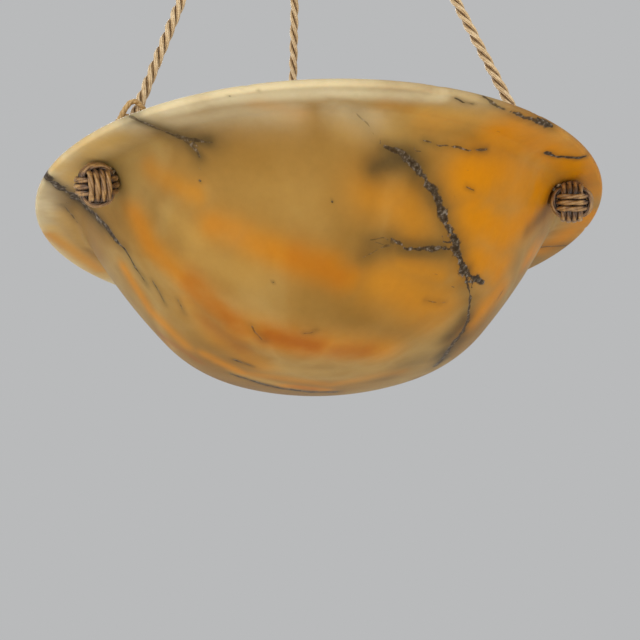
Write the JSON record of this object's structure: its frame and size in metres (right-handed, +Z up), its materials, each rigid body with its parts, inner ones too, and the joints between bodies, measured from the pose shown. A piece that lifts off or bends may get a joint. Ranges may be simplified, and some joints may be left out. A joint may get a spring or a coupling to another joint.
{
  "type": "pendant ceiling light",
  "caption": "Alabaster bowl pendant on three twisted silk ropes with ball knots, hung from a ring and hook under a round brass canopy, with a screw lamp inside",
  "frame": {"origin": "on the ceiling, in the middle of the strap's upper face", "axes": "+Z up, out of the strap's upper face; +X along the strap; the camera of the picture stands on the -Y side"},
  "size_m": [0.45, 0.45, 0.7847],
  "materials": {
    "alabaster": "polished",
    "silk_rope": "twisted",
    "silk_knot": "wound",
    "wood_bead": "turned",
    "steel": "zinc plated",
    "brass": "aged",
    "rubber": "matt",
    "black_plastic": "moulded",
    "porcelain": "unglazed",
    "lamp_glass": "frosted",
    "lamp_cap": "bright",
    "lamp_insulator": "black glass",
    "lamp_metal": "tinned"
  },
  "bodies": {
    "fitting": {"ceiling_plate": "steel", "ceiling_hook": "brass", "hook_locknut": "steel"},
    "canopy_cup": {"canopy": "brass"},
    "collar": {"canopy_collar": "brass"},
    "thumb_screw": {"collar_screw": "brass"},
    "ring": {"hanging_ring": "brass"},
    "pendant": {"cap_eye": "brass", "eye_nut": "brass", "rope_cap": "brass", "cap_block": "wood_bead", "rope_screws": "steel", "rope_left": "silk_rope", "rope_back": "silk_rope", "rope_right": "silk_rope", "knot_left": "silk_knot", "knot_back": "silk_knot", "knot_right": "silk_knot", "knot_core_left": "wood_bead", "knot_core_back": "wood_bead", "knot_core_right": "wood_bead", "hitch_left": "silk_rope", "hitch_back": "silk_rope", "hitch_right": "silk_rope", "carrier_arm_left": "brass", "carrier_arm_back": "brass", "carrier_arm_right": "brass", "arm_tip_left": "rubber", "arm_tip_back": "rubber", "arm_tip_right": "rubber", "alabaster_bowl": "alabaster", "carrier_hub": "brass", "arm_screws": "steel", "lamp_nipple": "brass", "nipple_nuts": "steel", "cord_grip": "black_plastic", "lampholder_cap": "brass", "lampholder_body": "brass", "lampholder_insert": "porcelain", "thread_shell": "brass", "centre_contact": "brass", "terminal_screws": "steel"},
    "shade_ring_part": {"shade_ring": "black_plastic"},
    "lamp": {"bulb_glass": "lamp_glass", "bulb_cap": "lamp_cap", "bulb_insulator": "lamp_insulator", "bulb_tip": "lamp_metal", "bulb_stem": "lamp_glass", "bulb_filament": "lamp_metal"}
  },
  "joints": [
    {"name": "collar_slide", "type": "slide", "parent": "fitting", "child": "collar", "axis": [0, 0, -1], "range_m": [0, 0.009]},
    {"name": "canopy_slide", "type": "slide", "parent": "fitting", "child": "canopy_cup", "axis": [0, 0, -1], "range_m": [0, 0.009]},
    {"name": "thumb_screw_turn", "type": "hinge", "parent": "collar", "child": "thumb_screw", "pos_m": [0, -0.011, -0.0306], "axis": [0, -1, 0], "range_deg": [0, 360]},
    {"name": "ring_swing", "type": "hinge", "parent": "fitting", "child": "ring", "pos_m": [0, 0, -0.072], "axis": [1, 0, 0], "range_deg": [-25, 25]},
    {"name": "pendant_swing", "type": "hinge", "parent": "ring", "child": "pendant", "pos_m": [0, 0, -0.09545], "axis": [0, 1, 0], "range_deg": [-20, 20]},
    {"name": "shade_ring_turn", "type": "hinge", "parent": "pendant", "child": "shade_ring_part", "pos_m": [0, 0, -0.705], "axis": [0, 0, 1], "range_deg": [0, 720]},
    {"name": "lamp_turn", "type": "hinge", "parent": "pendant", "child": "lamp", "pos_m": [0, 0, -0.695], "axis": [0, 0, 1], "range_deg": [0, 1080]}
  ],
  "couplings": [
    {"joint": "canopy_slide", "follows": "collar_slide", "ratio": 1}
  ]
}
